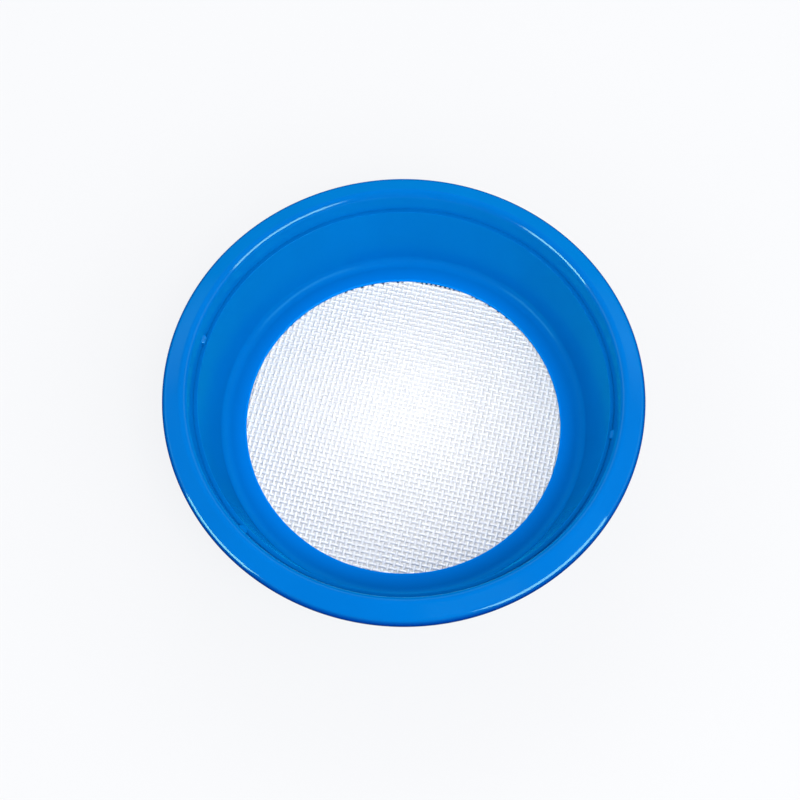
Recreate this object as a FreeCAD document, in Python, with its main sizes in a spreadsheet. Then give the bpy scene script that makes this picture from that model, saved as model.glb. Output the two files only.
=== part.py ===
import FreeCAD, Part
import Sketcher
import math
import os

# Hand leaf skimmer: a shallow round dish with a fine mesh floor, in millimetres.
#
# A moulded hoop carries the grip flange, the wall and the foot. The mesh lies on the hoop's base
# ledge, in two layers of wires. A clamp ring is pushed in from above, presses the mesh onto that
# ledge and is held by three small snap lugs that stand over its top edge.
#
# The axis of the dish is Z and the foot stands on Z = 0. Every profile is drawn in the XZ plane,
# with its radius along X.

SIZES = {
    # the rim and the grip flange
    "rim_radius": 110.0,           # outer edge of the flange
    "bowl_depth": 44.0,            # from the edge of the flange down to the clamp ring's ledge
    "flange_width": 11.2,          # from the outer edge in to the ridge
    "ridge_rise": 3.8,             # how far the ridge stands above the outer edge
    "ridge_round": 3.0,
    "flange_thickness": 2.1,
    "lip_height": 3.8,             # depth of the turned-down outer edge
    "lip_width": 2.1,
    "lip_round": 4.0,
    # the wall
    "upper_wall_lean": 10.5,       # degrees from upright, above the clamp ring
    "bowl_taper": 10.6,            # degrees from upright, down the clamp ring
    "hoop_wall": 2.3,              # radial thickness of the hoop behind the clamp ring
    "outer_corner_round": 1.6,
    # the base of the hoop
    "foot_height": 2.5,
    "foot_width": 2.2,
    "base_thickness": 2.2,
    "base_setback": 0.5,           # how far the base's opening lies outside the ledge's edge
    # the clamp ring
    "ledge_width": 11.2,           # from the ring's wall in to the edge of the mesh opening
    "ring_wall": 1.6,              # radial thickness
    "ring_fit": 0.25,              # radial gap between the ring and the hoop
    "ledge_thickness": 1.8,
    "ring_corner_round": 5.0,      # between the ring's wall and its ledge
    "ring_edge_round": 0.4,
    "parting_drop": 7.2,           # from the edge of the flange down to the ring's top edge
    "groove_width": 0.4,           # from the ring's top edge out to the hoop's wall
    "groove_depth": 1.0,
    # the snap lugs
    "lug_width": 4.2,
    "lug_height": 2.6,
    "lug_bite": 0.9,               # how far a lug reaches in over the ring's top edge
    "lug_clearance": 0.1,
    "lug_face": 1.3,               # upright part of a lug's inner face
    "first_lug_angle": 165.0,      # degrees from +X, seen from above
    "second_lug_angle": 223.4,
    "third_lug_angle": 346.7,
    # the mesh
    "wire_width": 1.45,            # the wires are oval, flatter than they are wide
    "wire_thickness": 0.8,
    "wire_pitch": 2.44,
    "wire_clearance": 0.05,        # between a layer of wires and the face that it lies against
    "layer_clearance": 0.02,       # between the two layers of wires
    "clamp_width": 2.7,            # how far the mesh runs in under the ledge
    "mesh_fit": 0.5,               # between the edge of the mesh and the ring's land
    "mesh_turn": -13.4,            # degrees that the mesh is turned in the hoop
}

# Heights and radii that follow from the sizes, as expressions on the sheet's cells.
BASE_TOP = "(Sizes.foot_height + Sizes.base_thickness)"
MESH_SPACE = "(2 * Sizes.wire_thickness + 2 * Sizes.wire_clearance + Sizes.layer_clearance)"
LEDGE_UNDERSIDE = f"({BASE_TOP} + {MESH_SPACE})"
LEDGE_TOP = f"({LEDGE_UNDERSIDE} + Sizes.ledge_thickness)"
LIP_Z = f"({LEDGE_TOP} + Sizes.bowl_depth)"
RING_TOP = f"({LIP_Z} - Sizes.parting_drop)"
GROOVE_FLOOR = f"({RING_TOP} - Sizes.groove_depth)"
RIDGE_RADIUS = "(Sizes.rim_radius - Sizes.flange_width)"
RIDGE_Z = f"({LIP_Z} + Sizes.ridge_rise)"
WALL_SLOPE = "tan(Sizes.bowl_taper * 1 deg)"
FLANGE_SLOPE = "(Sizes.ridge_rise / Sizes.flange_width)"
FLANGE_DROP = f"(Sizes.flange_thickness * sqrt(1 + {FLANGE_SLOPE} ^ 2))"


def upper_wall_radius(height):
    """Radius of the hoop's wall above the clamp ring at a height, as an expression."""
    return f"({RIDGE_RADIUS} - ({RIDGE_Z} - {height}) * tan(Sizes.upper_wall_lean * 1 deg))"


RING_EDGE_RADIUS = f"({upper_wall_radius(RING_TOP)} - Sizes.groove_width)"
RING_TOP_RADIUS = f"({RING_EDGE_RADIUS} - Sizes.ring_wall)"


def bowl_radius(height):
    """Radius of the clamp ring's inner wall at a height, as an expression."""
    return f"({RING_TOP_RADIUS} - ({RING_TOP} - {height}) * {WALL_SLOPE})"


MESH_OPENING = f"({bowl_radius(LEDGE_TOP)} - Sizes.ledge_width)"
MESH_EDGE = f"({MESH_OPENING} + Sizes.clamp_width)"
BASE_OPENING = f"({MESH_OPENING} + Sizes.base_setback)"
SEAT = "(Sizes.ring_wall + Sizes.ring_fit)"
HOOP_BACK = f"({SEAT} + Sizes.hoop_wall)"

# The underside of the flange meets the back of the hoop's wall here.
UNDERSIDE_AT_AXIS = f"({LIP_Z} + Sizes.rim_radius * {FLANGE_SLOPE} - {FLANGE_DROP})"
WALL_AT_BASE = f"({bowl_radius('0')} + {HOOP_BACK})"
UNDER_FLANGE_Z = (
    f"(({UNDERSIDE_AT_AXIS} - {WALL_AT_BASE} * {FLANGE_SLOPE})"
    f" / (1 + {WALL_SLOPE} * {FLANGE_SLOPE}))"
)

doc = FreeCAD.newDocument("leaf_skimmer")
sheet = doc.addObject("Spreadsheet::Sheet", "Sizes")
for row, (alias, size) in enumerate(SIZES.items(), start=1):
    sheet.set(f"A{row}", alias)
    sheet.set(f"B{row}", str(size))
    sheet.setAlias(f"B{row}", alias)
doc.recompute()


def value_of(expression):
    """The number that an expression on the sheet gives now."""
    result = sheet.evalExpression(expression)
    return float(getattr(result, "Value", result))


def origin_item(body, role):
    """One of a body's own origin planes or axes."""
    return next(item for item in body.Origin.OriginFeatures if item.Role == role)


def profile_sketch(body, name, corners, turn="0"):
    """A closed outline in the upright plane that stands at an angle about Z.

    Each corner is a pair of expressions: its radius and its height.
    """
    sketch = body.newObject("Sketcher::SketchObject", name)
    sketch.AttachmentSupport = [(origin_item(body, "XZ_Plane"), "")]
    sketch.MapMode = "FlatFace"
    sketch.AttachmentOffset = FreeCAD.Placement(
        FreeCAD.Vector(), FreeCAD.Rotation(FreeCAD.Vector(0, 1, 0), 0)
    )
    sketch.setExpression("AttachmentOffset.Rotation.Angle", f"({turn}) * 1 deg")
    points = [FreeCAD.Vector(value_of(across), value_of(up), 0) for across, up in corners]
    count = len(points)
    for index, point in enumerate(points):
        sketch.addGeometry(Part.LineSegment(point, points[(index + 1) % count]), False)
    for index in range(count):
        follower = (index + 1) % count
        sketch.addConstraint(Sketcher.Constraint("Coincident", index, 2, follower, 1))
    for index, (across, up) in enumerate(corners):
        for kind, expression in (("DistanceX", across), ("DistanceY", up)):
            size = value_of(expression)
            place = sketch.addConstraint(Sketcher.Constraint(kind, -1, 1, index, 1, size))
            sketch.setExpression(f"Constraints[{place}]", expression)
    doc.recompute()
    return sketch


def turned(body, name, sketch, angle="360", midplane=False):
    """Turn a profile about the dish's axis."""
    feature = body.newObject("PartDesign::Revolution", name)
    feature.Profile = sketch
    feature.ReferenceAxis = (origin_item(body, "Z_Axis"), [""])
    feature.Midplane = midplane
    feature.setExpression("Angle", f"({angle}) * 1 deg")
    doc.recompute()
    return feature


def rounded(body, name, radius, circles):
    """Round the circular edges that lie at the given radii and heights."""
    base = body.Tip
    places = [(value_of(across), value_of(up)) for across, up in circles]
    edges = []
    for number, edge in enumerate(base.Shape.Edges, start=1):
        curve = edge.Curve
        if not isinstance(curve, Part.Circle):
            continue
        for across, up in places:
            if abs(curve.Radius - across) < 0.01 and abs(curve.Center.z - up) < 0.01:
                edges.append(f"Edge{number}")
    feature = body.newObject("PartDesign::Fillet", name)
    feature.Base = (base, edges)
    feature.setExpression("Radius", radius)
    doc.recompute()
    return feature


def make_outer_hoop():
    """The moulded hoop: flange, wall, base ledge, foot and snap lugs."""
    body = doc.addObject("PartDesign::Body", "OuterHoop")
    body.Label = "outer_hoop"
    lip_inside = "(Sizes.rim_radius - Sizes.lip_width)"
    lip_bottom = f"({LIP_Z} - Sizes.lip_height)"
    foot_outside = f"({bowl_radius('0')} + {HOOP_BACK})"
    foot_inside = f"({foot_outside} - Sizes.foot_width)"
    ridge = (RIDGE_RADIUS, RIDGE_Z)
    lip_top = ("Sizes.rim_radius", LIP_Z)
    lip_outer = ("Sizes.rim_radius", lip_bottom)
    lip_inner = (lip_inside, lip_bottom)
    lip_root = (lip_inside, f"({UNDERSIDE_AT_AXIS} - {lip_inside} * {FLANGE_SLOPE})")
    under_flange = (f"({bowl_radius(UNDER_FLANGE_Z)} + {HOOP_BACK})", UNDER_FLANGE_Z)
    foot_outer = (foot_outside, "0")
    foot_inner = (foot_inside, "0")
    foot_root = (foot_inside, "Sizes.foot_height")
    base_lower = (BASE_OPENING, "Sizes.foot_height")
    base_upper = (BASE_OPENING, BASE_TOP)
    seat_bottom = (f"({bowl_radius(BASE_TOP)} + {SEAT})", BASE_TOP)
    seat_top = (f"({bowl_radius(GROOVE_FLOOR)} + {SEAT})", GROOVE_FLOOR)
    groove_corner = (upper_wall_radius(GROOVE_FLOOR), GROOVE_FLOOR)
    outline = [
        ridge, lip_top, lip_outer, lip_inner, lip_root, under_flange,
        foot_outer, foot_inner, foot_root, base_lower, base_upper,
        seat_bottom, seat_top, groove_corner,
    ]
    turned(body, "HoopRing", profile_sketch(body, "HoopProfile", outline))
    rounded(body, "LipRound", "Sizes.lip_round", [lip_top])
    rounded(body, "RidgeRound", "Sizes.ridge_round", [ridge])
    rounded(body, "FlangeRootRound", "Sizes.outer_corner_round", [under_flange])
    rounded(body, "FootRound", "0.25 * Sizes.foot_width", [foot_outer, foot_inner])
    rounded(body, "LipEdgeRound", "0.2 * Sizes.lip_width", [lip_outer, lip_inner])
    rounded(body, "BaseRound", "0.3 * Sizes.base_thickness", [base_lower, base_upper])

    # A lug bridges the groove: sloping at its top, upright over the ring's edge, flat below.
    lug_underside = f"({RING_TOP} + Sizes.lug_clearance)"
    lug_top = f"({lug_underside} + Sizes.lug_height)"
    lug_inside = f"({RING_EDGE_RADIUS} - Sizes.lug_bite)"
    wall_at_top = upper_wall_radius(lug_top)
    root = f"({wall_at_top} + 0.1 * Sizes.hoop_wall)"
    lug = [
        (lug_inside, lug_underside),
        (root, lug_underside),
        (root, lug_top),
        (wall_at_top, lug_top),
        (lug_inside, f"({lug_underside} + Sizes.lug_face)"),
    ]
    lug_angle = f"Sizes.lug_width / {lug_inside} * 180 / pi"
    for which in ("first", "second", "third"):
        sketch = profile_sketch(
            body, f"{which.title()}LugProfile", lug, f"Sizes.{which}_lug_angle"
        )
        turned(body, f"{which.title()}Lug", sketch, lug_angle, midplane=True)
    return body


def make_clamp_ring():
    """The ring that lines the wall and holds the mesh down with its ledge."""
    body = doc.addObject("PartDesign::Body", "ClampRing")
    body.Label = "clamp_ring"
    land_inside = f"({MESH_EDGE} + Sizes.mesh_fit)"
    ledge_lower = (MESH_OPENING, LEDGE_UNDERSIDE)
    ledge_upper = (MESH_OPENING, LEDGE_TOP)
    land_root = (land_inside, LEDGE_UNDERSIDE)
    land_inner = (land_inside, BASE_TOP)
    land_outer = (f"({bowl_radius(BASE_TOP)} + Sizes.ring_wall)", BASE_TOP)
    top_outer = (RING_EDGE_RADIUS, RING_TOP)
    top_inner = (RING_TOP_RADIUS, RING_TOP)
    floor_corner = (bowl_radius(LEDGE_TOP), LEDGE_TOP)
    outline = [
        ledge_lower, land_root, land_inner, land_outer,
        top_outer, top_inner, floor_corner, ledge_upper,
    ]
    turned(body, "RingTurned", profile_sketch(body, "RingProfile", outline))
    rounded(body, "FloorRound", "Sizes.ring_corner_round", [floor_corner])
    rounded(body, "TopEdgeRound", "Sizes.ring_edge_round", [top_inner, top_outer])
    rounded(body, "LedgeRound", "0.4 * Sizes.ledge_thickness", [ledge_upper])
    rounded(body, "LedgeUnderRound", "0.2 * Sizes.ledge_thickness", [ledge_lower])
    return body


def make_wires(label, height, quarter_turns):
    """One layer of straight oval wires, each cut so that its ends lie inside the round mesh."""
    half_width = value_of("Sizes.wire_width / 2")
    half_thickness = value_of("Sizes.wire_thickness / 2")
    pitch = value_of("Sizes.wire_pitch")
    mesh_radius = value_of(MESH_EDGE)
    turn = value_of("Sizes.mesh_turn") + 90 * quarter_turns
    reach = int(mesh_radius / pitch) - 1
    wires = []
    for step in range(-reach, reach + 1):
        offset = step * pitch
        half_length = math.sqrt(mesh_radius ** 2 - (abs(offset) + half_width) ** 2)
        start = FreeCAD.Vector(-half_length, offset, 0)
        side = start + FreeCAD.Vector(0, half_width, 0)
        top = start + FreeCAD.Vector(0, 0, half_thickness)
        oval = Part.Wire(Part.Ellipse(side, top, start).toShape())
        wires.append(Part.Face(oval).extrude(FreeCAD.Vector(2 * half_length, 0, 0)))
    layer = doc.addObject("Part::Feature", label)
    layer.Label = label
    layer.Shape = Part.makeCompound(wires)
    layer.Placement = FreeCAD.Placement(
        FreeCAD.Vector(0, 0, value_of(height)), FreeCAD.Rotation(FreeCAD.Vector(0, 0, 1), turn)
    )
    return layer


make_outer_hoop()
make_clamp_ring()

lower_layer = f"({BASE_TOP} + Sizes.wire_clearance + 0.5 * Sizes.wire_thickness)"
upper_layer = f"({lower_layer} + Sizes.wire_thickness + Sizes.layer_clearance)"
make_wires("mesh_weft", lower_layer, 0)
make_wires("mesh_warp", upper_layer, 1)

doc.recompute()

pieces = [
    item for item in doc.Objects
    if item.TypeId in ("PartDesign::Body", "Part::Feature")
]
for item in doc.Objects:
    faults = {"Invalid", "Error"} & set(item.State)
    if faults:
        raise RuntimeError(f"{item.Label} is in state {sorted(faults)}")
for piece in pieces:
    if piece.Shape.isNull() or not piece.Shape.isValid():
        raise RuntimeError(f"{piece.Label} has no valid shape")

os.makedirs("parts", exist_ok=True)
for piece in pieces:
    piece.Shape.exportStep(f"parts/{piece.Label}.step")
    box = piece.Shape.BoundBox
    print(
        f"{piece.Label}: {len(piece.Shape.Solids)} solids, {piece.Shape.Volume:.0f} mm3,"
        f" Z {box.ZMin:.2f} to {box.ZMax:.2f}, X {box.XMin:.2f} to {box.XMax:.2f}"
    )
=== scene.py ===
"""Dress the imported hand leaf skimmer: moulded hoop, clamp ring, woven mesh and a plain studio."""

import logging
import math
from collections.abc import Iterable
from dataclasses import dataclass, field, replace
from enum import Enum

import bmesh
import bpy
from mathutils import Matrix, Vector


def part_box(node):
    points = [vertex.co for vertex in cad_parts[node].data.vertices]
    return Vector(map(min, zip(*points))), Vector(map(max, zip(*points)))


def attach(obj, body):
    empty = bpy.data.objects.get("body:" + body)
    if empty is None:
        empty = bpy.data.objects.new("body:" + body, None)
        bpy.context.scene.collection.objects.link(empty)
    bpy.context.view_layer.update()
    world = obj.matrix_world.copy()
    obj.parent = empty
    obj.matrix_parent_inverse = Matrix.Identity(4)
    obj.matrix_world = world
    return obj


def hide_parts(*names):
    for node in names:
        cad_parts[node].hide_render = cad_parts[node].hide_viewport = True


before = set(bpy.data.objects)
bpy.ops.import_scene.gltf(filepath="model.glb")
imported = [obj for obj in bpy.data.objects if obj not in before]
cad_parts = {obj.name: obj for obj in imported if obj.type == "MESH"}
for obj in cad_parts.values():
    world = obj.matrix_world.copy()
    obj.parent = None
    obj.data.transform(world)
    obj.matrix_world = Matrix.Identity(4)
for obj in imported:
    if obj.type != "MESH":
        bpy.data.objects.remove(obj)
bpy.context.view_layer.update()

LOG = logging.getLogger("skimmer")
MM = 0.001
SHARP_ANGLE = math.radians(38)
NOISE_LOW, NOISE_HIGH = 0.3, 0.7

Colour = tuple[float, float, float, float]
Point = tuple[float, float]
Socket = bpy.types.NodeSocket


class Part(Enum):
    """The CAD nodes that the dressed pieces stand for."""

    HOOP = "outer_hoop"
    RING = "clamp_ring"
    WARP = "mesh_warp"
    WEFT = "mesh_weft"


class Reach(Enum):
    """Which surfaces a light works on."""

    MATT = "matt"
    GLOSSY = "glossy"


class Slot(Enum):
    """The record's material slots."""

    HOOP = "hoop_plastic"
    RING = "ring_plastic"
    WIRE = "mesh_wire"


# ---- Finishes ----


class NodeBench:
    """Lays out the shader nodes of one material or world and joins them."""

    def __init__(self, block: bpy.types.Material | bpy.types.World) -> None:
        """Start with no nodes but the coordinates.

        Args:
            block: the new material or world.
        """
        self.block = block
        self.block.use_nodes = True
        self.tree = self.block.node_tree
        self.tree.nodes.clear()
        self.places = self.add("ShaderNodeTexCoord").outputs

    def add(self, kind: str, **settings: object) -> bpy.types.Node:
        """Add a node.

        Args:
            kind: the node's type.
            **settings: properties to set on it.

        Returns:
            The new node.
        """
        node = self.tree.nodes.new(kind)
        for key, value in settings.items():
            setattr(node, key, value)
        return node

    def join(self, source: Socket, target: Socket) -> None:
        """Link an output socket to an input socket."""
        self.tree.links.new(source, target)

    def noise(self, scale: float, detail: float = 2.0, rough: float = 0.5) -> Socket:
        """A smooth random value over the piece.

        Args:
            scale: how many features lie along a metre.
            detail: octaves of finer noise.
            rough: how strong the finer octaves are.

        Returns:
            The value's socket, near 0.5 on average.
        """
        node = self.add("ShaderNodeTexNoise")
        node.inputs["Scale"].default_value = scale
        node.inputs["Detail"].default_value = detail
        node.inputs["Roughness"].default_value = rough
        self.join(self.places["Object"], node.inputs["Vector"])
        return node.outputs["Fac"]

    def follow(self, source: Socket, start: Point, end: Point) -> Socket:
        """Let a value follow another in a straight line, and stay level beyond its ends.

        Args:
            source: the value that is followed.
            start: one value of the source, and the result there.
            end: another value of the source, and the result there.

        Returns:
            The new value's socket.
        """
        node = self.add("ShaderNodeMapRange")
        node.inputs["From Min"].default_value, node.inputs["To Min"].default_value = start
        node.inputs["From Max"].default_value, node.inputs["To Max"].default_value = end
        self.join(source, node.inputs["Value"])
        return node.outputs["Result"]

    def span(self, source: Socket, low: float, high: float) -> Socket:
        """Spread a noise value's usual range over another range.

        Args:
            source: the noise.
            low: what its low values become.
            high: what its high values become.

        Returns:
            The new value's socket.
        """
        return self.follow(source, (NOISE_LOW, low), (NOISE_HIGH, high))

    def blend(self, amount: Socket, first: Colour | Socket, second: Colour | Socket) -> Socket:
        """Mix two colours.

        Args:
            amount: 0 for the first, 1 for the second.
            first: one colour, or the socket that gives it.
            second: the other colour, or the socket that gives it.

        Returns:
            The mixed colour's socket.
        """
        node = self.add("ShaderNodeMix", data_type="RGBA")
        ends = {"A_Color": first, "B_Color": second}
        for socket in node.inputs:
            end = ends.get(socket.identifier)
            if isinstance(end, Socket):
                self.join(end, socket)
            elif end is not None:
                socket.default_value = end
        self.join(amount, node.inputs["Factor"])
        return next(item for item in node.outputs if item.identifier == "Result_Color")

    def off_axis(self, near: Point, far: Point, centre: Point = (0.0, 0.0)) -> Socket:
        """Let a value change with the distance from an upright line, by default the axis.

        Args:
            near: a distance and the value there.
            far: another distance and the value there.
            centre: where the line stands.

        Returns:
            The value's socket.
        """
        flat = self.add("ShaderNodeVectorMath", operation="MULTIPLY_ADD")
        self.join(self.places["Object"], flat.inputs[0])
        flat.inputs[1].default_value = (1.0, 1.0, 0.0)
        flat.inputs[2].default_value = (-centre[0], -centre[1], 0.0)
        away = self.add("ShaderNodeVectorMath", operation="LENGTH")
        self.join(flat.outputs["Vector"], away.inputs[0])
        return self.follow(away.outputs["Value"], near, far)

    def ramp(self, share: Socket, *stops: tuple[float, Colour]) -> Socket:
        """Turn a share into a colour.

        Args:
            share: the value that picks the colour.
            stops: pairs of a share and the colour there, in rising order.

        Returns:
            The colour's socket.
        """
        node = self.add("ShaderNodeValToRGB")
        while len(node.color_ramp.elements) < len(stops):
            node.color_ramp.elements.new(0.5)
        for stop, (place, colour) in zip(node.color_ramp.elements, stops):
            stop.position = place
            stop.color = colour
        self.join(share, node.inputs["Fac"])
        return node.outputs["Color"]

    def bump(self, height: Socket, depth: float, under: Socket | None = None) -> Socket:
        """Turn a height into a bent normal.

        Args:
            height: the height, from 0 to 1.
            depth: metres from lowest to highest.
            under: the normal that this one adds to.

        Returns:
            The normal's socket.
        """
        node = self.add("ShaderNodeBump")
        node.inputs["Strength"].default_value = 1.0
        node.inputs["Distance"].default_value = depth
        self.join(height, node.inputs["Height"])
        if under is not None:
            self.join(under, node.inputs["Normal"])
        return node.outputs["Normal"]

    def mix(self, amount: Socket | float, first: Socket, second: Socket) -> Socket:
        """Mix two shaders.

        Args:
            amount: 0 for the first, 1 for the second.
            first: one shader's socket.
            second: the other shader's socket.

        Returns:
            The mixed shader's socket.
        """
        node = self.add("ShaderNodeMixShader")
        if isinstance(amount, Socket):
            self.join(amount, node.inputs["Fac"])
        else:
            node.inputs["Fac"].default_value = amount
        self.join(first, node.inputs[1])
        self.join(second, node.inputs[2])
        return node.outputs["Shader"]

    def close(self, shader: Socket) -> bpy.types.Material | bpy.types.World:
        """Join the last shader to the output.

        Args:
            shader: the last shader's socket.

        Returns:
            The finished material or world.
        """
        kind = "World" if isinstance(self.block, bpy.types.World) else "Material"
        self.join(shader, self.add(f"ShaderNodeOutput{kind}").inputs["Surface"])
        return self.block


@dataclass(frozen=True)
class MouldedPlastic:
    """Glossy see-into plastic as it comes out of a mould.

    The colour drifts a little where the melt flowed. The surface is very slightly wavy from
    shrinkage, has a fine skin, and its gloss changes gently over the piece. Scales count features
    along a metre.

    The dye colours the reflections too: `gleam` tints them square on, `edge_gleam` once the
    surface tilts, and `glance` at a glancing view. That last change sets in where the share of
    light reflected is `pale_from`, and is full at `pale_to`. Between two distances off the axis
    the colour turns to its painted tone: darker painted shade at the hoop's outer lip, where its
    rounding turns away from the light, and lighter painted light on the ring's ledge near the mesh.
    """

    name: str
    colour: Colour
    drift: Colour
    shine: tuple[float, float]
    gleam: Colour
    edge_gleam: Colour
    glance: Colour
    pale_from: float
    pale_to: float
    painted_tone: Colour
    painted_tone_from: float
    painted_tone_to: float
    square_on: float = 0.042
    tilted: float = 0.05
    refraction: float = 1.5
    flow_scale: float = 22.0
    gloss_scale: float = 60.0
    wave_scale: float = 35.0
    wave_depth: float = 0.06 * MM
    skin_scale: float = 1800.0
    skin_depth: float = 0.0015 * MM

    def make(self) -> bpy.types.Material:
        """Build the material.

        Returns:
            The material.
        """
        bench = NodeBench(bpy.data.materials.new(self.name))
        body = bench.add("ShaderNodeBsdfPrincipled")
        body.inputs["Specular IOR Level"].default_value = 0.0
        coat = bench.add("ShaderNodeBsdfGlossy")
        flow = bench.span(bench.noise(self.flow_scale, detail=3.0), 0.0, 1.0)
        dye = bench.blend(flow, self.colour, self.drift)
        # Painted shade on the hoop's lip and painted light on the ring's ledge, by distance off the
        # axis.
        painted_tone_share = bench.off_axis((self.painted_tone_from, 0.0), (self.painted_tone_to, 1.0))
        bench.join(bench.blend(painted_tone_share, dye, self.painted_tone), body.inputs["Base Color"])
        gloss = bench.span(bench.noise(self.gloss_scale, detail=4.0, rough=0.6), *self.shine)
        waves = bench.bump(bench.noise(self.wave_scale, detail=1.0), self.wave_depth)
        skin = bench.bump(bench.noise(self.skin_scale), self.skin_depth, waves)
        for layer in (body, coat):
            bench.join(gloss, layer.inputs["Roughness"])
            bench.join(skin, layer.inputs["Normal"])
        edge = bench.add("ShaderNodeFresnel")
        edge.inputs["IOR"].default_value = self.refraction
        bench.join(skin, edge.inputs["Normal"])
        tint = bench.ramp(
            edge.outputs["Fac"],
            (self.square_on, self.gleam),
            (self.tilted, self.edge_gleam),
            (self.pale_from, self.edge_gleam),
            (self.pale_to, self.glance),
        )
        bench.join(tint, coat.inputs["Color"])
        return bench.close(
            bench.mix(edge.outputs["Fac"], body.outputs["BSDF"], coat.outputs["BSDF"])
        )


@dataclass(frozen=True)
class DrawnNylon:
    """White drawn monofilament: milky, a little see-through at its edges and softly shiny.

    Its glow is the share of light that passes through. Scales count features along a metre.
    """

    name: str
    colour: Colour
    shade: Colour
    glow: float
    shine: tuple[float, float] = (0.38, 0.55)
    refraction: float = 1.53
    cloud_scale: float = 90.0
    gloss_scale: float = 400.0
    grain_scale: float = 2500.0
    grain_depth: float = 0.006 * MM

    def make(self) -> bpy.types.Material:
        """Build the material.

        Returns:
            The material.
        """
        bench = NodeBench(bpy.data.materials.new(self.name))
        skin = bench.add("ShaderNodeBsdfPrincipled")
        skin.inputs["IOR"].default_value = self.refraction
        milk = bench.span(bench.noise(self.cloud_scale, detail=3.0), 0.0, 1.0)
        colour = bench.blend(milk, self.colour, self.shade)
        bench.join(colour, skin.inputs["Base Color"])
        gloss = bench.span(bench.noise(self.gloss_scale), *self.shine)
        bench.join(gloss, skin.inputs["Roughness"])
        grain = bench.bump(bench.noise(self.grain_scale, detail=1.0), self.grain_depth)
        bench.join(grain, skin.inputs["Normal"])
        through = bench.add("ShaderNodeBsdfTranslucent")
        bench.join(colour, through.inputs["Color"])
        return bench.close(bench.mix(self.glow, skin.outputs["BSDF"], through.outputs["BSDF"]))


@dataclass(frozen=True)
class PaleFloor:
    """A plain pale table top that goes white in front of the camera and keeps its shadows.

    For the camera, its two tones are lifted towards the plain white: by `lift` round the dish, and
    by less in the part that the dish covers, except in a pool of painted light off the middle:
    the floor there, seen through the mesh, is painted paler. All other rays meet the darker
    `bounce`, which limits the light that it throws back.
    """

    name: str
    colour: Colour
    shade: Colour
    bounce: Colour
    white: Colour
    lift: float
    light_pool_lift: float
    lift_below: float
    covered: float = 90 * MM
    fade: float = 10 * MM
    light_pool_middle: Point = (-22 * MM, 28 * MM)
    light_pool_from: float = 35 * MM
    light_pool_to: float = 105 * MM
    cloud_scale: float = 6.0

    def make(self) -> bpy.types.Material:
        """Build the material.

        Returns:
            The material.
        """
        bench = NodeBench(bpy.data.materials.new(self.name))
        seen = bench.add("ShaderNodeLightPath").outputs["Is Camera Ray"]
        matt = bench.add("ShaderNodeBsdfDiffuse")
        cloud = bench.span(bench.noise(self.cloud_scale, detail=3.0), 0.0, 1.0)
        paper = bench.blend(cloud, self.colour, self.shade)
        bench.join(bench.blend(seen, self.bounce, paper), matt.inputs["Color"])
        plain = bench.add("ShaderNodeEmission")
        plain.inputs["Color"].default_value = self.white
        # Painted light: a paler pool on the floor below the mesh, palest off the middle.
        middle = (self.light_pool_from, self.light_pool_lift)
        below = bench.off_axis(middle, (self.light_pool_to, self.lift_below), self.light_pool_middle)
        beside = bench.off_axis((self.covered - self.fade, 0.0), (self.covered, self.lift))
        clear = bench.add("ShaderNodeMath", operation="MAXIMUM")
        bench.join(below, clear.inputs[0])
        bench.join(beside, clear.inputs[1])
        amount = bench.add("ShaderNodeMath", operation="MULTIPLY")
        bench.join(seen, amount.inputs[0])
        bench.join(clear.outputs[0], amount.inputs[1])
        return bench.close(
            bench.mix(amount.outputs[0], matt.outputs["BSDF"], plain.outputs["Emission"])
        )


# ---- Outlines ----


@dataclass(frozen=True)
class Corner:
    """A corner of a turned outline, in metres from the axis and above the floor.

    Its bend is the radius of its round, which has that many steps, or none if it is sharp.
    """

    radius: float
    height: float
    bend: float = 0.0
    steps: int = 0


@dataclass
class Outline:
    """A closed outline with rounded corners, to be turned about the dish's axis.

    Each round starts at least `least_reach` from its corner. A straight run's extra points lie
    `support` from its ends, or `support_share` of the run where it is short.
    """

    corners: list[Corner]
    least_reach: float = 0.15 * MM
    support: float = 0.35 * MM
    support_share: float = 0.3

    def points(self) -> list[Point]:
        """Work out the outline's points, rounds included.

        Straight runs get a point near each end, so that smooth shading stays true along them.

        Returns:
            Pairs of radius and height, in order.
        """
        count = len(self.corners)
        arcs = [self._arc(index) for index in range(count)]
        result: list[Point] = []
        for index, arc in enumerate(arcs):
            result.extend(arc)
            start = Vector(arc[-1])
            end = Vector(arcs[(index + 1) % count][0])
            share = min(self.support / (end - start).length, self.support_share)
            result.append(tuple(start.lerp(end, share)))
            result.append(tuple(end.lerp(start, share)))
        return result

    def _arc(self, index: int) -> list[Point]:
        """The points of one corner: one if it is sharp, else a circular arc.

        Args:
            index: the corner's number.

        Returns:
            Pairs of radius and height, in order.
        """
        corner = self.corners[index]
        here = Vector((corner.radius, corner.height))
        if corner.steps == 0:
            return [tuple(here)]
        before = self.corners[index - 1]
        after = self.corners[(index + 1) % len(self.corners)]
        back = (Vector((before.radius, before.height)) - here).normalized()
        ahead = (Vector((after.radius, after.height)) - here).normalized()
        half = 0.5 * back.angle(ahead)
        reach = max(corner.bend / math.tan(half), self.least_reach)
        start, end, weight = here + back * reach, here + ahead * reach, math.sin(half)
        points = []
        for step in range(corner.steps + 1):
            t = step / corner.steps
            pull = 2 * t * (1 - t) * weight
            total = (1 - t) ** 2 + pull + t**2
            points.append(tuple((start * (1 - t) ** 2 + here * pull + end * t**2) / total))
        return points


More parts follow.
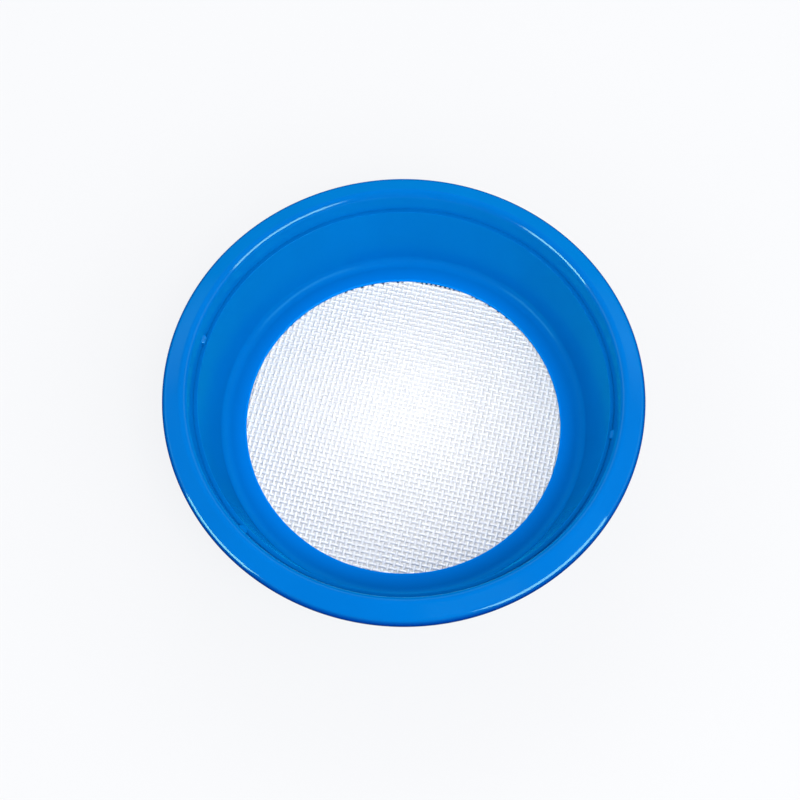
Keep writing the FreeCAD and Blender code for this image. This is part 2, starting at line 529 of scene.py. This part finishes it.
@dataclass(frozen=True)
class DishSizes:
    """Sizes that the hoop and the clamp ring share, in metres, with the frame's own places."""

    flange_width: float = 11.2 * MM
    ridge_rise: float = 3.8 * MM
    upper_wall_lean: float = math.radians(10.5)
    taper: float = math.radians(10.6)
    parting_drop: float = 7.2 * MM
    groove_width: float = 0.2 * MM
    groove_depth: float = 0.15 * MM
    ring_wall: float = 1.8 * MM
    ring_fit: float = 0.05 * MM
    hoop_wall: float = 2.3 * MM
    ledge_width: float = 11.2 * MM
    ledge_thickness: float = 1.8 * MM
    bowl_depth: float = 44.0 * MM
    clamp_width: float = 2.7 * MM
    rim_radius: float = field(default_factory=lambda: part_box(Part.HOOP.value)[1].x)
    ring_top: float = field(default_factory=lambda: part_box(Part.RING.value)[1].z)
    base_top: float = field(default_factory=lambda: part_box(Part.RING.value)[0].z)

    @property
    def lip_z(self) -> float:
        """Height of the flange's outer edge."""
        return self.ring_top + self.parting_drop

    @property
    def ledge_top(self) -> float:
        """Height of the clamp ring's ledge."""
        return self.lip_z - self.bowl_depth

    @property
    def ridge_radius(self) -> float:
        """Radius of the ridge between the flange and the wall."""
        return self.rim_radius - self.flange_width

    @property
    def ridge_z(self) -> float:
        """Height of the ridge before it is rounded."""
        return self.lip_z + self.ridge_rise

    @property
    def ring_edge_radius(self) -> float:
        """Outer radius of the clamp ring's top edge."""
        return self.upper_wall_radius(self.ring_top) - self.groove_width

    @property
    def ring_top_radius(self) -> float:
        """Inner radius of the clamp ring's top edge."""
        return self.ring_edge_radius - self.ring_wall

    @property
    def mesh_opening(self) -> float:
        """Radius of the ledge's inner edge."""
        return self.bowl_radius(self.ledge_top) - self.ledge_width

    def upper_wall_radius(self, height: float) -> float:
        """Radius of the hoop's wall above the clamp ring at a height."""
        return self.ridge_radius - (self.ridge_z - height) * math.tan(self.upper_wall_lean)

    def bowl_radius(self, height: float) -> float:
        """Radius of the clamp ring's inner wall at a height."""
        return self.ring_top_radius - (self.ring_top - height) * math.tan(self.taper)


# ---- The turned pieces ----


def finish_mesh(mesh: bpy.types.Mesh) -> None:
    """Point the faces outwards and shade all but the sharp edges smoothly.

    Args:
        mesh: the closed mesh to finish.
    """
    work = bmesh.new()
    work.from_mesh(mesh)
    bmesh.ops.recalc_face_normals(work, faces=work.faces)
    if work.calc_volume(signed=True) < 0:
        bmesh.ops.reverse_faces(work, faces=work.faces)
    work.to_mesh(mesh)
    work.free()
    mesh.polygons.foreach_set("use_smooth", [True] * len(mesh.polygons))
    mesh.set_sharp_from_angle(angle=SHARP_ANGLE)


@dataclass
class SnapLug:
    """Where one snap lug stands and how far its form has risen at an angle.

    Its sides rise over `side_round`. The hoop has sections at the lug's middle, `margin` outside
    it, and at shares of that round inwards, closest together where the side is steepest.
    """

    angle: float
    width: float = 4.2 * MM
    side_round: float = 0.8 * MM
    margin: float = 0.3 * MM
    side_shares: tuple[float, ...] = (0, 0.06, 0.2, 0.42, 0.7, 1, 1.8)

    def stations(self, radius: float) -> list[float]:
        """Angles at which the hoop needs a section to show the lug's sides.

        Args:
            radius: the radius at which the width is measured.

        Returns:
            Angles in radians.
        """
        half = 0.5 * self.width
        reaches = [half - self.side_round * share for share in self.side_shares]
        reaches += [half + self.margin, 0.0]
        return [self.angle + side * reach / radius for reach in reaches for side in (-1, 1)]

    def rise(self, angle: float, radius: float) -> float:
        """How much of the lug's form stands at an angle.

        Args:
            angle: the angle round the axis.
            radius: the radius at which the width is measured.

        Returns:
            A share from 0, beside the lug, to 1.
        """
        away = abs(math.remainder(angle - self.angle, math.tau)) * radius
        inside = (0.5 * self.width - away) / self.side_round
        if inside <= 0:
            return 0.0
        return math.sqrt(1 - (1 - min(inside, 1.0)) ** 2)


@dataclass
class OuterHoop:
    """The moulded hoop with its grip flange, wall, base, foot and snap lugs.

    Its section has as many points everywhere. Beside a lug, the three corners that form it lie
    along the wall, raised by `flat_lifts`. The other sections lie at least `least_gap` of their
    spacing from a lug's own.
    """

    sizes: DishSizes
    finish: MouldedPlastic
    sections: int = 384
    least_gap: float = 0.48
    ridge_round: float = 3.0 * MM
    flange_thickness: float = 2.1 * MM
    lip_height: float = 3.8 * MM
    lip_width: float = 2.1 * MM
    lip_round: float = 3.2 * MM
    outer_corner_round: float = 1.6 * MM
    inside_round: float = 0.3 * MM
    foot_height: float = 2.5 * MM
    foot_width: float = 2.2 * MM
    base_setback: float = 1.2 * MM
    lug_height: float = 2.6 * MM
    lug_bite: float = 0.9 * MM
    lug_clearance: float = 0.1 * MM
    lug_face: float = 1.3 * MM
    lug_rounds: tuple[float, ...] = (0.3 * MM, 0.8 * MM, 0.6 * MM)
    flat_lifts: tuple[float, ...] = (0.5 * MM, 0.4 * MM, 0.0)
    lugs: tuple[SnapLug, ...] = tuple(SnapLug(math.radians(turn)) for turn in (165, 223.4, 346.7))

    def outline(self, with_lug: bool) -> list[Point]:
        """The hoop's section, plain or through a lug, with the same number of points.

        Args:
            with_lug: whether the section runs through a snap lug.

        Returns:
            Pairs of radius and height.
        """
        s = self.sizes
        back = s.ring_wall + s.ring_fit + s.hoop_wall
        seat = s.ring_wall + s.ring_fit
        slope = s.ridge_rise / s.flange_width
        under_at_axis = s.lip_z + s.rim_radius * slope
        under_at_axis -= self.flange_thickness * math.hypot(1, slope)
        wall_at_floor = s.bowl_radius(0) + back
        lean = math.tan(s.taper)
        under_z = (under_at_axis - wall_at_floor * slope) / (1 + lean * slope)
        lip_in = s.rim_radius - self.lip_width
        lip_low = s.lip_z - self.lip_height
        foot_in = wall_at_floor - self.foot_width
        opening = s.mesh_opening + self.base_setback
        groove_z = s.ring_top - s.groove_depth
        lug_low = s.ring_top + self.lug_clearance
        lug_top = lug_low + self.lug_height
        face_top = lug_low + self.lug_face
        lug_in = s.ring_edge_radius - self.lug_bite
        heights = (lug_low, face_top, lug_top)
        if with_lug:
            radii = (lug_in, lug_in, s.upper_wall_radius(lug_top))
            lug = [Corner(*place, 4) for place in zip(radii, heights, self.lug_rounds)]
        else:
            heights = [height + lift for height, lift in zip(heights, self.flat_lifts)]
            lug = [Corner(s.upper_wall_radius(height), height, 0.0, 4) for height in heights]
        foot_round, lip_edge = 0.25 * self.foot_width, 0.2 * self.lip_width
        base_round = 0.3 * (s.base_top - self.foot_height)
        corners = [
            Corner(s.ridge_radius, s.ridge_z, self.ridge_round, 14),
            Corner(s.rim_radius, s.lip_z, self.lip_round, 12),
            Corner(s.rim_radius, lip_low, lip_edge, 5),
            Corner(lip_in, lip_low, lip_edge, 5),
            Corner(lip_in, under_at_axis - lip_in * slope, self.inside_round, 3),
            Corner(s.bowl_radius(under_z) + back, under_z, self.outer_corner_round, 8),
            Corner(wall_at_floor, 0, foot_round, 5),
            Corner(foot_in, 0, foot_round, 5),
            Corner(foot_in, self.foot_height, self.inside_round, 3),
            Corner(opening, self.foot_height, base_round, 5),
            Corner(opening, s.base_top, base_round, 5),
            Corner(s.bowl_radius(s.base_top) + seat, s.base_top),
            Corner(s.bowl_radius(groove_z) + seat, groove_z),
            Corner(s.upper_wall_radius(groove_z), groove_z),
            Corner(s.upper_wall_radius(lug_low), lug_low),
            *lug,
        ]
        return Outline(corners).points()

    def stations(self) -> list[float]:
        """The angles of the hoop's sections, closer together at the lugs.

        Returns:
            Angles in radians, in rising order.
        """
        radius, spacing = self.sizes.ring_top_radius, math.tau / self.sections
        extra = [turn % math.tau for lug in self.lugs for turn in lug.stations(radius)]
        angles = set(extra)
        for index in range(self.sections):
            angle = math.tau * index / self.sections
            gaps = (abs(math.remainder(angle - other, math.tau)) for other in extra)
            if min(gaps) > self.least_gap * spacing:
                angles.add(angle)
        return sorted(angles)

    def build(self) -> bpy.types.Object:
        """Turn the section round the axis, raising it into a lug where one stands.

        Returns:
            The hoop's object, riding on the root body.
        """
        plain = self.outline(with_lug=False)
        raised = self.outline(with_lug=True)
        angles = self.stations()
        verts = []
        for angle in angles:
            rise = max(lug.rise(angle, self.sizes.ring_top_radius) for lug in self.lugs)
            for (r0, z0), (r1, z1) in zip(plain, raised):
                radius, height = r0 + (r1 - r0) * rise, z0 + (z1 - z0) * rise
                verts.append((radius * math.cos(angle), radius * math.sin(angle), height))
        width, turns = len(plain), len(angles)
        faces = []
        for turn in range(turns):
            here, there = turn * width, (turn + 1) % turns * width
            for step in range(width):
                after = (step + 1) % width
                faces.append((here + step, here + after, there + after, there + step))
        mesh = bpy.data.meshes.new("hoop")
        mesh.from_pydata(verts, [], faces)
        mesh.materials.append(self.finish.make())
        finish_mesh(mesh)
        piece = bpy.data.objects.new("hoop", mesh)
        bpy.context.scene.collection.objects.link(piece)
        return dress(piece, [Part.HOOP])


class NodeTree:
    """Lays out a geometry node tree with named inputs."""

    def __init__(self, name: str) -> None:
        """Start an empty tree with a geometry input and output.

        Args:
            name: the tree's name.
        """
        self.tree = bpy.data.node_groups.new(name, "GeometryNodeTree")
        self.face = self.tree.interface
        self.face.new_socket("Geometry", in_out="INPUT", socket_type="NodeSocketGeometry")
        self.face.new_socket("Geometry", in_out="OUTPUT", socket_type="NodeSocketGeometry")
        self.inputs = self.tree.nodes.new("NodeGroupInput")
        self.output = self.tree.nodes.new("NodeGroupOutput")
        self.values: dict[str, object] = {}

    def size(self, name: str, value: float | int) -> Socket:
        """Add a named input.

        Args:
            name: the input's name.
            value: what the modifier sets it to.

        Returns:
            The socket that gives it inside the tree.
        """
        kind = "NodeSocketInt" if isinstance(value, int) else "NodeSocketFloat"
        socket = self.face.new_socket(name, in_out="INPUT", socket_type=kind)
        self.values[socket.identifier] = value
        return self.inputs.outputs[name]

    def node(
        self, kind: str, links: dict[str | int, object] | None = None, **settings: object
    ) -> bpy.types.Node:
        """Add a node, set its properties and feed its inputs.

        Args:
            kind: the node's type.
            links: input name or number to a socket or a plain value.
            **settings: properties to set on it.

        Returns:
            The new node.
        """
        node = self.tree.nodes.new(kind)
        for key, value in settings.items():
            setattr(node, key, value)
        for key, value in (links or {}).items():
            socket = node.inputs[key]
            if isinstance(value, Socket):
                self.tree.links.new(value, socket)
            else:
                socket.default_value = value
        return node

    def math(self, operation: str, first: object, second: object = 0.0) -> Socket:
        """Work out one sum.

        Args:
            operation: the kind of sum.
            first: a socket or a number.
            second: a socket or a number.

        Returns:
            The result's socket.
        """
        return self.node("ShaderNodeMath", {0: first, 1: second}, operation=operation).outputs[0]

    def run(self, name: str, base: bpy.types.Mesh, last: Socket) -> bpy.types.Object:
        """Apply the tree and turn its result into a plain mesh.

        Args:
            name: the piece's name.
            base: the mesh that the tree starts from.
            last: the geometry that the tree makes.

        Returns:
            The finished object, with no modifier.
        """
        self.tree.links.new(last, self.output.inputs[0])
        piece = bpy.data.objects.new(name, base)
        bpy.context.scene.collection.objects.link(piece)
        modifier = piece.modifiers.new(name, "NODES")
        modifier.node_group = self.tree
        for identifier, value in self.values.items():
            modifier[identifier] = value
        piece.update_tag()
        graph = bpy.context.evaluated_depsgraph_get()
        result = bpy.data.meshes.new_from_object(piece.evaluated_get(graph), depsgraph=graph)
        result.name = name
        piece.modifiers.remove(modifier)
        piece.data = result
        return piece


@dataclass
class ClampRing:
    """The tapered ring that lines the wall and holds the mesh down with its ledge."""

    sizes: DishSizes
    finish: MouldedPlastic
    sections: int = 384
    corner_round: float = 5.0 * MM
    edge_round: float = 0.4 * MM
    outer_edge_round: float = 0.12 * MM
    mesh_fit: float = 0.5 * MM

    def outline(self) -> list[Point]:
        """The ring's section.

        Returns:
            Pairs of radius and height.
        """
        s = self.sizes
        under = s.ledge_top - s.ledge_thickness
        land = s.mesh_opening + s.clamp_width + self.mesh_fit
        over, below = 0.4 * s.ledge_thickness, 0.2 * s.ledge_thickness
        corners = [
            Corner(s.mesh_opening, under, below, 5),
            Corner(land, under),
            Corner(land, s.base_top),
            Corner(s.bowl_radius(s.base_top) + s.ring_wall, s.base_top),
            Corner(s.ring_edge_radius, s.ring_top, self.outer_edge_round, 8),
            Corner(s.ring_top_radius, s.ring_top, self.edge_round, 8),
            Corner(s.bowl_radius(s.ledge_top), s.ledge_top, self.corner_round, 20),
            Corner(s.mesh_opening, s.ledge_top, over, 8),
        ]
        return Outline(corners).points()

    def build(self) -> bpy.types.Object:
        """Turn the section round the axis with geometry nodes.

        Returns:
            The ring's object, riding on the root body.
        """
        points = self.outline()
        middle = self.sizes.bowl_radius(self.sizes.ledge_top)
        section = bpy.data.meshes.new("ring_section")
        edges = [(index, (index + 1) % len(points)) for index in range(len(points))]
        section.from_pydata([(r - middle, -z, 0) for r, z in points], edges, [])
        tree = NodeTree("turned_ring")
        radius = tree.size("Path Radius", middle)
        sections = tree.size("Sections", self.sections)
        path = tree.node(
            "GeometryNodeCurvePrimitiveCircle", {"Resolution": sections, "Radius": radius}
        )
        profile = tree.node("GeometryNodeMeshToCurve", {"Mesh": tree.inputs.outputs["Geometry"]})
        swept = tree.node(
            "GeometryNodeCurveToMesh",
            {"Curve": path.outputs["Curve"], "Profile Curve": profile.outputs["Curve"]},
        )
        dressed = tree.node(
            "GeometryNodeSetMaterial",
            {"Geometry": swept.outputs["Mesh"], "Material": self.finish.make()},
        )
        piece = tree.run("clamp_ring_liner", section, dressed.outputs["Geometry"])
        finish_mesh(piece.data)
        return dress(piece, [Part.RING])


@dataclass
class WovenMesh:
    """The square woven mesh: plain weave, each wire over one and under the next.

    The crimp is the share of a full weave's rise that is left after the crossings are heat-set.
    The sway is how far a wire strays sideways; `noise_gain` spreads the noise that steers it.
    """

    sizes: DishSizes
    finish: DrawnNylon
    pitch: float = 2.44 * MM
    wire_width: float = 1.45 * MM
    wire_thickness: float = 0.8 * MM
    turn: float = math.radians(-13.4)
    sides: int = 5
    steps_per_pitch: int = 3
    sway: float = 0.1 * MM
    sway_scale: float = 28.0
    noise_gain: float = 4.0
    crimp: float = 0.65

    def build(self) -> bpy.types.Object:
        """Weave both directions of wire with geometry nodes.

        Returns:
            The mesh's object, riding on the root body.
        """
        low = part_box(Part.WEFT.value)[0].z
        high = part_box(Part.WARP.value)[1].z
        radius = self.sizes.mesh_opening + self.sizes.clamp_width
        tree = NodeTree("plain_weave")
        inputs = {
            "radius": tree.size("Mesh Radius", radius),
            "pitch": tree.size("Pitch", self.pitch),
            "width": tree.size("Wire Width", self.wire_width),
            "thickness": tree.size("Wire Thickness", self.wire_thickness),
            "rise": tree.size("Rise", 0.5 * self.crimp * (high - low - self.wire_thickness)),
            "sway": tree.size("Sway", self.sway),
            "reach": tree.size("Wires Each Side", int(radius / self.pitch) - 1),
            "sides": tree.size("Wire Sides", self.sides),
            "steps": tree.size("Steps Per Pitch", self.steps_per_pitch),
        }
        joined = tree.node("GeometryNodeJoinGeometry")
        for quarter, side in ((0, -1.0), (1, 1.0)):
            layer = self._layer(tree, inputs, side)
            placed = tree.node(
                "GeometryNodeTransform",
                {
                    "Geometry": layer,
                    "Translation": (0, 0, 0.5 * (low + high)),
                    "Rotation": (0, 0, self.turn + quarter * math.pi / 2),
                },
            )
            tree.tree.links.new(placed.outputs["Geometry"], joined.inputs["Geometry"])
        real = tree.node("GeometryNodeRealizeInstances", {"Geometry": joined.outputs[0]})
        dressed = tree.node(
            "GeometryNodeSetMaterial",
            {"Geometry": real.outputs[0], "Material": self.finish.make()},
        )
        piece = tree.run("woven_mesh", bpy.data.meshes.new("weave_base"), dressed.outputs[0])
        piece.data.polygons.foreach_set("use_smooth", [True] * len(piece.data.polygons))
        dress(piece, [Part.WARP, Part.WEFT])
        return piece

    def _layer(self, tree: NodeTree, sizes: dict[str, Socket], side: float) -> Socket:
        """The wires of one direction, along X, before they are turned into place.

        Args:
            tree: the tree to add to.
            sizes: the tree's inputs.
            side: 1 or -1, so that the two directions cross over each other in turn.

        Returns:
            The wires' geometry.
        """
        lines = self._lines(tree, sizes)
        place = tree.node("GeometryNodeInputPosition").outputs[0]
        split = tree.node("ShaderNodeSeparateXYZ", {0: place}).outputs
        row = tree.math("ROUND", tree.math("DIVIDE", split["Y"], sizes["pitch"]))
        phase = tree.math("ADD", tree.math("DIVIDE", split["X"], sizes["pitch"]), row)
        wave = tree.math("COSINE", tree.math("MULTIPLY", phase, math.pi))
        lift = tree.math("MULTIPLY", tree.math("MULTIPLY", wave, sizes["rise"]), side)
        drift = tree.node(
            "ShaderNodeTexNoise", {"Vector": place, "Scale": self.sway_scale, "Detail": 1.0}
        )
        aside = tree.math("SUBTRACT", drift.outputs[0], 0.5)
        stray = tree.math("MULTIPLY", tree.math("MULTIPLY", aside, self.noise_gain), sizes["sway"])
        offset = tree.node("ShaderNodeCombineXYZ", {"Y": stray, "Z": lift}).outputs[0]
        woven = tree.node("GeometryNodeSetPosition", {"Geometry": lines, "Offset": offset})
        ring = tree.node(
            "GeometryNodeCurvePrimitiveCircle", {"Resolution": sizes["sides"], "Radius": 0.5}
        )
        scale = tree.node(
            "ShaderNodeCombineXYZ", {"X": sizes["width"], "Y": sizes["thickness"], "Z": 1.0}
        )
        oval = tree.node(
            "GeometryNodeTransform", {"Geometry": ring.outputs["Curve"], "Scale": scale.outputs[0]}
        )
        wires = tree.node(
            "GeometryNodeCurveToMesh",
            {"Curve": woven.outputs[0], "Profile Curve": oval.outputs[0], "Fill Caps": True},
        )
        return wires.outputs[0]

    def _lines(self, tree: NodeTree, sizes: dict[str, Socket]) -> Socket:
        """Straight lines along X, one for each wire, that stop short of the mesh's edge.

        Args:
            tree: the tree to add to.
            sizes: the tree's inputs.

        Returns:
            The lines' geometry.
        """
        count = tree.math("ADD", tree.math("MULTIPLY", sizes["reach"], 2.0), 1.0)
        first = tree.math("MULTIPLY", tree.math("MULTIPLY", sizes["reach"], -1.0), sizes["pitch"])
        start = tree.node("ShaderNodeCombineXYZ", {"Y": first}).outputs[0]
        step = tree.node("ShaderNodeCombineXYZ", {"Y": sizes["pitch"]}).outputs[0]
        rows = tree.node(
            "GeometryNodeMeshLine", {"Count": count, "Start Location": start, "Offset": step}
        )
        spacing = tree.math("DIVIDE", sizes["pitch"], sizes["steps"])
        half_steps = tree.math("CEIL", tree.math("DIVIDE", sizes["radius"], spacing))
        half = tree.math("MULTIPLY", half_steps, spacing)
        left = tree.node("ShaderNodeCombineXYZ", {"X": tree.math("MULTIPLY", half, -1.0)})
        right = tree.node("ShaderNodeCombineXYZ", {"X": half})
        line = tree.node(
            "GeometryNodeCurvePrimitiveLine", {"Start": left.outputs[0], "End": right.outputs[0]}
        )
        samples = tree.math("ADD", tree.math("MULTIPLY", half_steps, 2.0), 1.0)
        points = tree.node(
            "GeometryNodeResampleCurve", {"Curve": line.outputs[0], "Count": samples}
        )
        spread = tree.node(
            "GeometryNodeInstanceOnPoints",
            {"Points": rows.outputs[0], "Instance": points.outputs[0]},
        )
        real = tree.node("GeometryNodeRealizeInstances", {"Geometry": spread.outputs[0]})
        place = tree.node("GeometryNodeInputPosition").outputs[0]
        away = tree.node("ShaderNodeVectorMath", {0: place}, operation="LENGTH").outputs["Value"]
        edge = tree.math("SUBTRACT", sizes["radius"], tree.math("MULTIPLY", sizes["width"], 0.5))
        outside = tree.node("FunctionNodeCompare", {0: away, 1: edge}, operation="GREATER_THAN")
        inside = tree.node(
            "GeometryNodeDeleteGeometry",
            {"Geometry": real.outputs[0], "Selection": outside.outputs[0]},
            domain="POINT",
        )
        return inside.outputs[0]


def dress(piece: bpy.types.Object, parts: Iterable[Part]) -> bpy.types.Object:
    """Let a piece ride on the root body and stand for its CAD nodes.

    Args:
        piece: the finished piece.
        parts: the CAD nodes that it stands for.

    Returns:
        The piece.
    """
    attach(piece, "root")
    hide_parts(*[part.value for part in parts])
    return piece


# ---- The studio ----


@dataclass(frozen=True)
class Softbox:
    """An area light that hangs round the dish and faces it.

    Its bearing and height are directions from the dish, its width and drop the angles that it
    fills there, all in degrees. It lights only the surfaces that `shows_in` names, from `away`
    metres off.
    """

    name: str
    bearing: float
    height: float
    width: float
    drop: float
    brightness: float
    shows_in: Reach
    away: float = 1.3

    def build(self, target: Vector) -> None:
        """Hang the light and aim it.

        Args:
            target: the point that it faces.
        """
        level = math.cos(math.radians(self.height))
        turn = math.radians(self.bearing)
        rise = math.sin(math.radians(self.height))
        way = Vector((level * math.cos(turn), level * math.sin(turn), rise))
        lamp = bpy.data.lights.new(self.name, "AREA")
        lamp.shape = "RECTANGLE"
        lamp.size = 2 * self.away * math.tan(0.5 * math.radians(self.width))
        lamp.size_y = 2 * self.away * math.tan(0.5 * math.radians(self.drop))
        lamp.energy = self.brightness * math.pi * lamp.size * lamp.size_y
        holder = bpy.data.objects.new(self.name, lamp)
        holder.location = target + way * self.away
        holder.rotation_euler = (-way).to_track_quat("-Z", "Y").to_euler()
        holder.visible_diffuse = self.shows_in is Reach.MATT
        holder.visible_glossy = self.shows_in is Reach.GLOSSY
        bpy.context.scene.collection.objects.link(holder)


@dataclass
class Studio:
    """The floor, the soft lights, the surroundings and the camera.

    The sky pairs a direction's share upwards with its brightness there, as a share of `surround`.
    Reflections show the share `glare` of it on the far side and none on the near side, with a
    slope between the two values of `glare_slope` along Y.
    """

    sizes: DishSizes
    floor: PaleFloor
    elevation: float = math.radians(67.7)
    distance: float = 0.538
    lens: float = 53.54
    sensor: float = 36.0
    near_limit: float = 10 * MM
    aim: Point = (-0.0017, -0.0078)
    floor_half: float = 6.0
    floor_drop: float = 0.05 * MM
    surround: float = 4.3
    sky: tuple[Point, ...] = (
        (0.0, 0.02),
        (0.2, 0.1),
        (0.3, 1.0),
        (0.54, 1.0),
        (0.62, 0.1),
        (1.0, 0.02),
    )
    sky_tint: tuple[float, float, float] = (0.97, 0.98, 1.0)
    glare: float = 0.22
    glare_slope: tuple[float, float] = (-0.7, 0.1)
    lights: tuple[Softbox, ...] = (
        Softbox("high_softbox", 300.0, 62.0, 22.0, 22.0, 10.8, Reach.MATT),
        Softbox("side_softbox", 0.0, 62.0, 22.0, 22.0, 2.2, Reach.MATT),
        Softbox("right_softbox", 315.0, 36.0, 28.0, 24.0, 4.8, Reach.MATT),
        Softbox("left_softbox", 225.0, 36.0, 28.0, 24.0, 1.9, Reach.MATT),
        Softbox("back_softbox", 90.0, 36.0, 28.0, 24.0, 3.6, Reach.MATT),
        Softbox("left_rim_light", 204.0, 22.0, 28.0, 28.0, 13.0, Reach.GLOSSY),
        Softbox("right_rim_light", 322.0, 34.0, 40.0, 30.0, 10.0, Reach.GLOSSY),
    )

    def build(self) -> None:
        """Set up everything round the dish."""
        self._floor()
        self._world()
        for light in self.lights:
            light.build(Vector((0, 0, self.sizes.lip_z)))
        self._camera()
        bpy.context.scene.view_settings.view_transform = "Standard"

    def _floor(self) -> None:
        """Lay the floor just below the foot. It isn't part of the dish."""
        half = self.floor_half
        mesh = bpy.data.meshes.new("floor")
        mesh.from_pydata(
            [(-half, -half, 0), (half, -half, 0), (half, half, 0), (-half, half, 0)],
            [],
            [(0, 1, 2, 3)],
        )
        mesh.materials.append(self.floor.make())
        floor = bpy.data.objects.new("floor", mesh)
        floor.location.z = -self.floor_drop
        bpy.context.scene.collection.objects.link(floor)

    def _world(self) -> None:
        """Surround the dish with light, brightest in a low band, and a plain backdrop.

        The camera sees the backdrop, and all other rays the light.
        """
        bench = NodeBench(bpy.data.worlds.new("pale_surround"))
        way = bench.add("ShaderNodeSeparateXYZ")
        bench.join(bench.places["Generated"], way.inputs["Vector"])
        sky = bench.add("ShaderNodeBackground")
        tones = [
            (rise, (*(level * share for share in self.sky_tint), 1.0)) for rise, level in self.sky
        ]
        bench.join(bench.ramp(way.outputs["Z"], *tones), sky.inputs["Color"])
        dark, bright = self.glare_slope
        glare = bench.follow(way.outputs["Y"], (dark, 0.0), (bright, self.surround * self.glare))
        rays = bench.add("ShaderNodeLightPath").outputs
        strength = bench.add("ShaderNodeMapRange")
        strength.inputs["To Min"].default_value = self.surround
        bench.join(glare, strength.inputs["To Max"])
        bench.join(rays["Is Glossy Ray"], strength.inputs["Value"])
        bench.join(strength.outputs["Result"], sky.inputs["Strength"])
        plain = bench.add("ShaderNodeBackground")
        plain.inputs["Color"].default_value = self.floor.white
        bpy.context.scene.world = bench.close(
            bench.mix(rays["Is Camera Ray"], sky.outputs[0], plain.outputs[0])
        )

    def _camera(self) -> None:
        """Look down on the dish from in front."""
        data = bpy.data.cameras.new("camera")
        data.lens = self.lens
        data.sensor_width = self.sensor
        data.clip_start = self.near_limit
        camera = bpy.data.objects.new("camera", data)
        target = Vector((self.aim[0], self.aim[1], self.sizes.lip_z))
        back = Vector((0, -math.cos(self.elevation), math.sin(self.elevation)))
        camera.location = target + back * self.distance
        camera.rotation_euler = (-back).to_track_quat("-Z", "Y").to_euler()
        bpy.context.scene.collection.objects.link(camera)
        bpy.context.scene.camera = camera


def main() -> None:
    """Build the pieces and the studio, and report each piece."""
    logging.basicConfig(level=logging.INFO, format="%(name)s: %(message)s")
    blue = MouldedPlastic(
        name="blue_moulded_plastic",
        colour=(0.0, 0.09, 0.325, 1.0),
        drift=(0.0, 0.098, 0.35, 1.0),
        shine=(0.05, 0.1),
        gleam=(0.45, 0.95, 0.62, 1.0),
        edge_gleam=(0.012, 0.64, 0.6, 1.0),
        glance=(0.5, 0.85, 0.92, 1.0),
        pale_from=0.25,
        pale_to=0.5,
        # painted shade: the hoop's lip darkens to this tone towards its outer edge
        painted_tone=(0.0, 0.025, 0.2, 1.0),
        painted_tone_from=108.4 * MM,
        painted_tone_to=109.8 * MM,
    )
    satin_blue = replace(
        blue,
        name="satin_blue_moulded_plastic",
        shine=(0.14, 0.22),
        gleam=(0.02, 0.1, 0.08, 1.0),
        glance=(0.02, 0.95, 1.0, 1.0),
        pale_from=0.45,
        pale_to=0.8,
        # painted light: the ledge lightens to this tone towards the mesh
        painted_tone=(0.0, 0.155, 0.56, 1.0),
        painted_tone_from=88.5 * MM,
        painted_tone_to=77.0 * MM,
    )
    nylon = DrawnNylon(
        name="white_nylon_wire",
        colour=(0.845, 0.85, 0.86, 1.0),
        shade=(0.825, 0.83, 0.84, 1.0),
        glow=0.12,
    )
    paper = PaleFloor(
        name="pale_table",
        colour=(0.52, 0.52, 0.525, 1.0),
        shade=(0.51, 0.51, 0.515, 1.0),
        bounce=(0.05, 0.05, 0.052, 1.0),
        white=(0.939, 0.947, 0.965, 1.0),
        lift=0.85,
        # painted light: the floor below the mesh at its palest
        light_pool_lift=0.97,
        lift_below=0.62,
    )
    sizes = DishSizes()
    pieces = [
        OuterHoop(sizes, blue).build(),
        ClampRing(sizes, satin_blue).build(),
        WovenMesh(sizes, nylon).build(),
    ]
    Studio(sizes, paper).build()
    for piece in pieces:
        triangles = sum(len(face.vertices) - 2 for face in piece.data.polygons)
        LOG.info("%s: %d triangles", piece.name, triangles)


if __name__ == "__main__":
    main()
